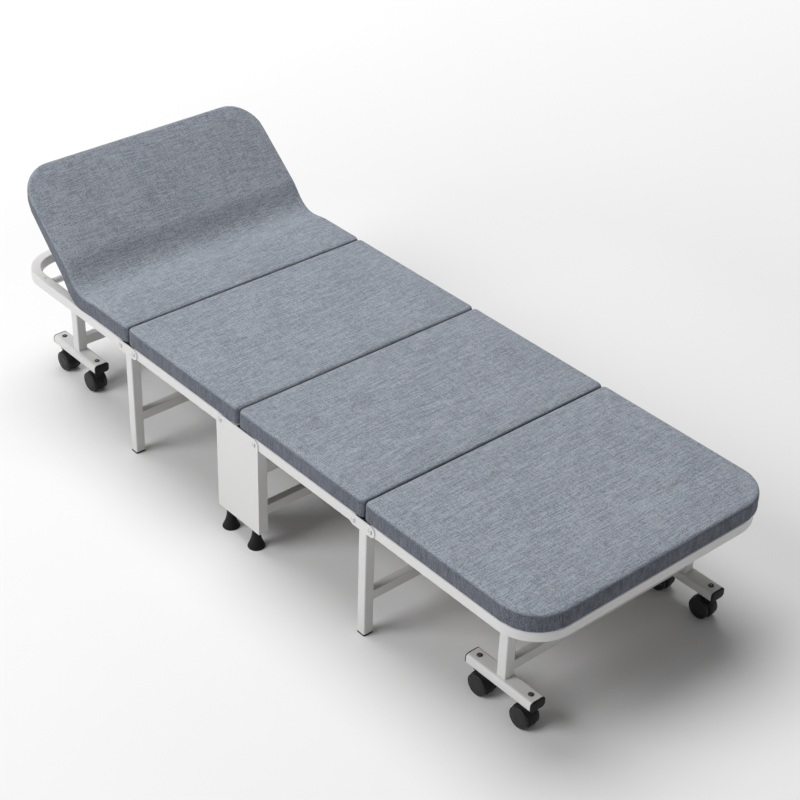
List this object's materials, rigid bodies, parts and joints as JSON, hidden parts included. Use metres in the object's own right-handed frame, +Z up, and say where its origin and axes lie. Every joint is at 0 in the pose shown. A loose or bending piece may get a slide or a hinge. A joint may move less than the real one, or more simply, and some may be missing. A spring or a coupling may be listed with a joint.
{
  "type": "folding cot",
  "caption": "Four-fold tube-frame guest cot with split upholstered pads, an adjustable headrest, centre and outer legs and caster frames.",
  "frame": {"origin": "on the floor under the middle of the cot, between the centre legs", "axes": "+X to the foot end, +Y to the left side seen from the head, +Z up"},
  "size_m": [1.828, 0.7138, 0.5603],
  "materials": {
    "white_paint": "white powder coat, satin",
    "fabric": "blue-grey heathered linen weave",
    "board": "dark hardboard",
    "black_plastic": "moulded, satin",
    "wheel_plastic": "moulded nylon tread",
    "black_bolt": "black oxide",
    "rivet_steel": "pale coated steel",
    "zinc_steel": "zinc plated"
  },
  "bodies": {
    "centre_legs": {"centre_leg_left": "white_paint", "centre_leg_right": "white_paint", "centre_crossbars": "white_paint", "centre_rivets": "rivet_steel", "suction_feet": "black_plastic"},
    "mid_head_section": {"mid_head_rails": "white_paint", "mid_head_crossbars": "white_paint", "mid_head_board": "board", "mid_head_pad": "fabric"},
    "head_leg": {"head_leg_tubes": "white_paint", "head_leg_crossbar": "white_paint", "head_leg_brackets": "white_paint", "head_leg_rivets": "rivet_steel", "head_leg_shoes": "black_plastic"},
    "head_section": {"head_frame": "white_paint", "head_crossbars": "white_paint", "head_board": "board", "head_pad": "fabric", "head_pivot_tube": "white_paint", "ratchet_plates": "zinc_steel"},
    "head_casters": {"head_caster_frame": "white_paint", "head_caster_plugs": "black_plastic", "head_caster_bolts": "black_bolt"},
    "mid_foot_section": {"mid_foot_rails": "white_paint", "mid_foot_crossbars": "white_paint", "mid_foot_board": "board", "mid_foot_pad": "fabric"},
    "foot_leg": {"foot_leg_tubes": "white_paint", "foot_leg_crossbar": "white_paint", "foot_leg_brackets": "white_paint", "foot_leg_rivets": "rivet_steel", "foot_leg_shoes": "black_plastic"},
    "foot_section": {"foot_frame": "white_paint", "foot_crossbars": "white_paint", "foot_board": "board", "foot_pad": "fabric", "foot_pivot_tube": "white_paint"},
    "foot_casters": {"foot_caster_frame": "white_paint", "foot_caster_plugs": "black_plastic", "foot_caster_bolts": "black_bolt"},
    "headrest": {"headrest_frame": "zinc_steel", "headrest_board": "board", "headrest_pad": "fabric", "headrest_pins": "rivet_steel"},
    "caster_1_swivel": {"caster_1_housing": "black_plastic"},
    "caster_1_wheel": {"caster_1_wheels": "wheel_plastic"},
    "caster_2_swivel": {"caster_2_housing": "black_plastic"},
    "caster_2_wheel": {"caster_2_wheels": "wheel_plastic"},
    "caster_3_swivel": {"caster_3_housing": "black_plastic"},
    "caster_3_wheel": {"caster_3_wheels": "wheel_plastic"},
    "caster_4_swivel": {"caster_4_housing": "black_plastic"},
    "caster_4_wheel": {"caster_4_wheels": "wheel_plastic"},
    "caster_5_swivel": {"caster_5_housing": "black_plastic"},
    "caster_5_wheel": {"caster_5_wheels": "wheel_plastic"},
    "caster_6_swivel": {"caster_6_housing": "black_plastic"},
    "caster_6_wheel": {"caster_6_wheels": "wheel_plastic"},
    "caster_7_swivel": {"caster_7_housing": "black_plastic"},
    "caster_7_wheel": {"caster_7_wheels": "wheel_plastic"},
    "caster_8_swivel": {"caster_8_housing": "black_plastic"},
    "caster_8_wheel": {"caster_8_wheels": "wheel_plastic"}
  },
  "joints": [
    {"name": "head_fold", "type": "hinge", "parent": "centre_legs", "child": "mid_head_section", "pos_m": [-0.061, 0, 0.289], "axis": [0, 1, 0], "range_deg": [0, 90]},
    {"name": "head_leg_fold", "type": "hinge", "parent": "mid_head_section", "child": "head_leg", "pos_m": [-0.396, 0, 0.289], "axis": [0, 1, 0], "range_deg": [-90, 0]},
    {"name": "head_section_fold", "type": "hinge", "parent": "head_leg", "child": "head_section", "pos_m": [-0.448, 0, 0.289], "axis": [0, 1, 0], "range_deg": [-85, 0]},
    {"name": "head_caster_swing", "type": "hinge", "parent": "head_section", "child": "head_casters", "pos_m": [-0.797, 0, 0.286], "axis": [0, 1, 0], "range_deg": [0, 85]},
    {"name": "foot_fold", "type": "hinge", "parent": "centre_legs", "child": "mid_foot_section", "pos_m": [0.061, 0, 0.289], "axis": [0, -1, 0], "range_deg": [0, 90]},
    {"name": "foot_leg_fold", "type": "hinge", "parent": "mid_foot_section", "child": "foot_leg", "pos_m": [0.396, 0, 0.289], "axis": [0, -1, 0], "range_deg": [-90, 0]},
    {"name": "foot_section_fold", "type": "hinge", "parent": "foot_leg", "child": "foot_section", "pos_m": [0.448, 0, 0.289], "axis": [0, -1, 0], "range_deg": [-85, 0]},
    {"name": "foot_caster_swing", "type": "hinge", "parent": "foot_section", "child": "foot_casters", "pos_m": [0.797, 0, 0.286], "axis": [0, -1, 0], "range_deg": [0, 85]},
    {"name": "headrest_tilt", "type": "hinge", "parent": "head_section", "child": "headrest", "pos_m": [-0.64, 0, 0.296], "axis": [0, 1, 0], "range_deg": [-40, 25]},
    {"name": "caster_1_swivel_turn", "type": "hinge", "parent": "head_casters", "child": "caster_1_swivel", "pos_m": [-0.846, -0.266, 0.062], "axis": [0, 0, 1], "continuous": true},
    {"name": "caster_1_roll", "type": "hinge", "parent": "caster_1_swivel", "child": "caster_1_wheel", "pos_m": [-0.833, -0.266, 0.025], "axis": [0, 1, 0], "continuous": true},
    {"name": "caster_2_swivel_turn", "type": "hinge", "parent": "head_casters", "child": "caster_2_swivel", "pos_m": [-0.698, -0.266, 0.062], "axis": [0, 0, 1], "continuous": true},
    {"name": "caster_2_roll", "type": "hinge", "parent": "caster_2_swivel", "child": "caster_2_wheel", "pos_m": [-0.711, -0.266, 0.025], "axis": [0, 1, 0], "continuous": true},
    {"name": "caster_3_swivel_turn", "type": "hinge", "parent": "head_casters", "child": "caster_3_swivel", "pos_m": [-0.846, 0.266, 0.062], "axis": [0, 0, 1], "continuous": true},
    {"name": "caster_3_roll", "type": "hinge", "parent": "caster_3_swivel", "child": "caster_3_wheel", "pos_m": [-0.833, 0.266, 0.025], "axis": [0, 1, 0], "continuous": true},
    {"name": "caster_4_swivel_turn", "type": "hinge", "parent": "head_casters", "child": "caster_4_swivel", "pos_m": [-0.698, 0.266, 0.062], "axis": [0, 0, 1], "continuous": true},
    {"name": "caster_4_roll", "type": "hinge", "parent": "caster_4_swivel", "child": "caster_4_wheel", "pos_m": [-0.711, 0.266, 0.025], "axis": [0, 1, 0], "continuous": true},
    {"name": "caster_5_swivel_turn", "type": "hinge", "parent": "foot_casters", "child": "caster_5_swivel", "pos_m": [0.698, -0.266, 0.062], "axis": [0, 0, 1], "continuous": true},
    {"name": "caster_5_roll", "type": "hinge", "parent": "caster_5_swivel", "child": "caster_5_wheel", "pos_m": [0.711, -0.266, 0.025], "axis": [0, 1, 0], "continuous": true},
    {"name": "caster_6_swivel_turn", "type": "hinge", "parent": "foot_casters", "child": "caster_6_swivel", "pos_m": [0.846, -0.266, 0.062], "axis": [0, 0, 1], "continuous": true},
    {"name": "caster_6_roll", "type": "hinge", "parent": "caster_6_swivel", "child": "caster_6_wheel", "pos_m": [0.833, -0.266, 0.025], "axis": [0, 1, 0], "continuous": true},
    {"name": "caster_7_swivel_turn", "type": "hinge", "parent": "foot_casters", "child": "caster_7_swivel", "pos_m": [0.698, 0.266, 0.062], "axis": [0, 0, 1], "continuous": true},
    {"name": "caster_7_roll", "type": "hinge", "parent": "caster_7_swivel", "child": "caster_7_wheel", "pos_m": [0.711, 0.266, 0.025], "axis": [0, 1, 0], "continuous": true},
    {"name": "caster_8_swivel_turn", "type": "hinge", "parent": "foot_casters", "child": "caster_8_swivel", "pos_m": [0.846, 0.266, 0.062], "axis": [0, 0, 1], "continuous": true},
    {"name": "caster_8_roll", "type": "hinge", "parent": "caster_8_swivel", "child": "caster_8_wheel", "pos_m": [0.833, 0.266, 0.025], "axis": [0, 1, 0], "continuous": true}
  ],
  "couplings": [
    {"joint": "head_leg_fold", "follows": "head_fold", "ratio": -1},
    {"joint": "head_section_fold", "follows": "head_fold", "ratio": -0.94444},
    {"joint": "head_caster_swing", "follows": "head_fold", "ratio": 0.94444},
    {"joint": "foot_leg_fold", "follows": "foot_fold", "ratio": -1},
    {"joint": "foot_section_fold", "follows": "foot_fold", "ratio": -0.94444},
    {"joint": "foot_caster_swing", "follows": "foot_fold", "ratio": 0.94444}
  ]
}
